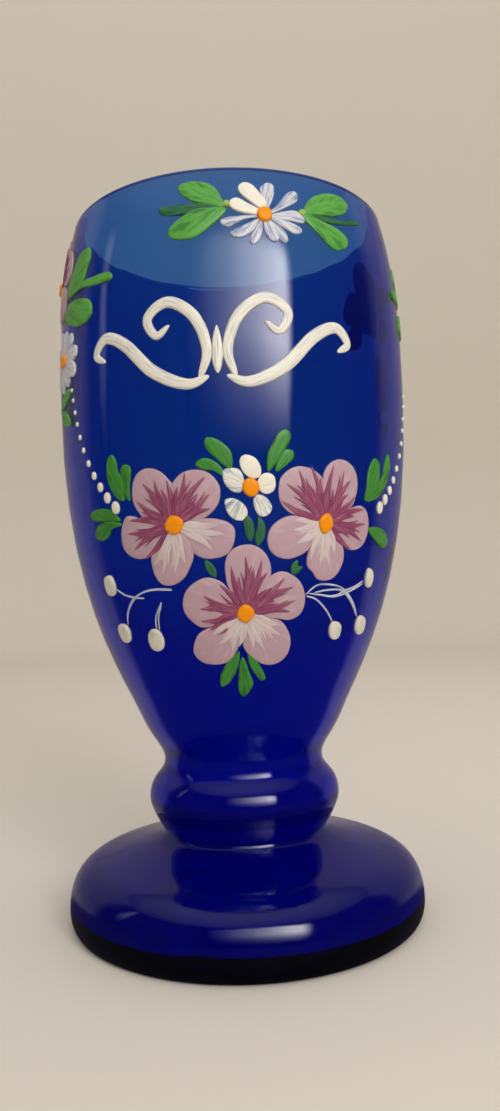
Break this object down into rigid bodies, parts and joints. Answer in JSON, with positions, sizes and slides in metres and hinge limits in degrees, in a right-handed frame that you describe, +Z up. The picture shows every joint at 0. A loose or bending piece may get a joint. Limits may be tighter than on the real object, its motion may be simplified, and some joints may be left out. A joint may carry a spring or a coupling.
{
  "type": "drinking glass",
  "caption": "Footed drinking glass of deep blue glass: tall tapered bowl, hollow knop and broad foot, with flowers painted in raised enamel.",
  "frame": {"origin": "centre of the foot, on the surface that the glass stands on", "axes": "+Z up along the glass's axis of turning; -Y out of the front of the painting; +X to the right seen from the front"},
  "size_m": [0.0772, 0.0768, 0.15],
  "materials": {
    "blue_glass": "clear deep cobalt blue glass, fire polished",
    "lilac_enamel": "raised glossy enamel, pale lilac with plum and white brush strokes",
    "cream_enamel": "raised glossy enamel, cream white",
    "orange_enamel": "thick glossy enamel drops, orange yellow",
    "green_enamel": "raised glossy enamel, leaf green"
  },
  "bodies": {
    "root": {"bowl": "blue_glass", "knop": "blue_glass", "foot": "blue_glass", "left_pansy_petals": "lilac_enamel", "left_pansy_eye": "orange_enamel", "right_pansy_petals": "lilac_enamel", "right_pansy_eye": "orange_enamel", "low_pansy_petals": "lilac_enamel", "low_pansy_eye": "orange_enamel", "posy_petals": "cream_enamel", "posy_eye": "orange_enamel", "top_daisy_petals": "cream_enamel", "top_daisy_eye": "orange_enamel", "top_leaves_left": "green_enamel", "top_leaves_right": "green_enamel", "left_spray_pansy_petals": "lilac_enamel", "left_spray_pansy_eye": "orange_enamel", "left_spray_daisy_petals": "cream_enamel", "left_spray_daisy_eye": "orange_enamel", "left_spray_leaves": "green_enamel", "left_spray_low_leaves": "green_enamel", "right_spray_pansy_petals": "lilac_enamel", "right_spray_pansy_eye": "orange_enamel", "right_spray_daisy_petals": "cream_enamel", "right_spray_daisy_eye": "orange_enamel", "right_spray_leaves": "green_enamel", "right_spray_low_leaves": "green_enamel", "left_upper_leaves": "green_enamel", "left_side_leaves": "green_enamel", "right_upper_leaves": "green_enamel", "bottom_leaves": "green_enamel", "right_side_leaf": "green_enamel", "posy_leaf_1": "green_enamel", "posy_leaf_2": "green_enamel", "posy_leaf_3": "green_enamel", "posy_leaf_4": "green_enamel", "stem_leaf_1": "green_enamel", "stem_leaf_2": "green_enamel", "left_sprig": "cream_enamel", "left_low_sprig": "cream_enamel", "right_sprig": "cream_enamel", "left_dot_1": "cream_enamel", "left_dot_2": "cream_enamel", "left_dot_3": "cream_enamel", "left_dot_4": "cream_enamel", "right_dot_1": "cream_enamel", "right_dot_2": "cream_enamel", "right_dot_3": "cream_enamel", "right_dot_4": "cream_enamel"}
  },
  "joints": []
}
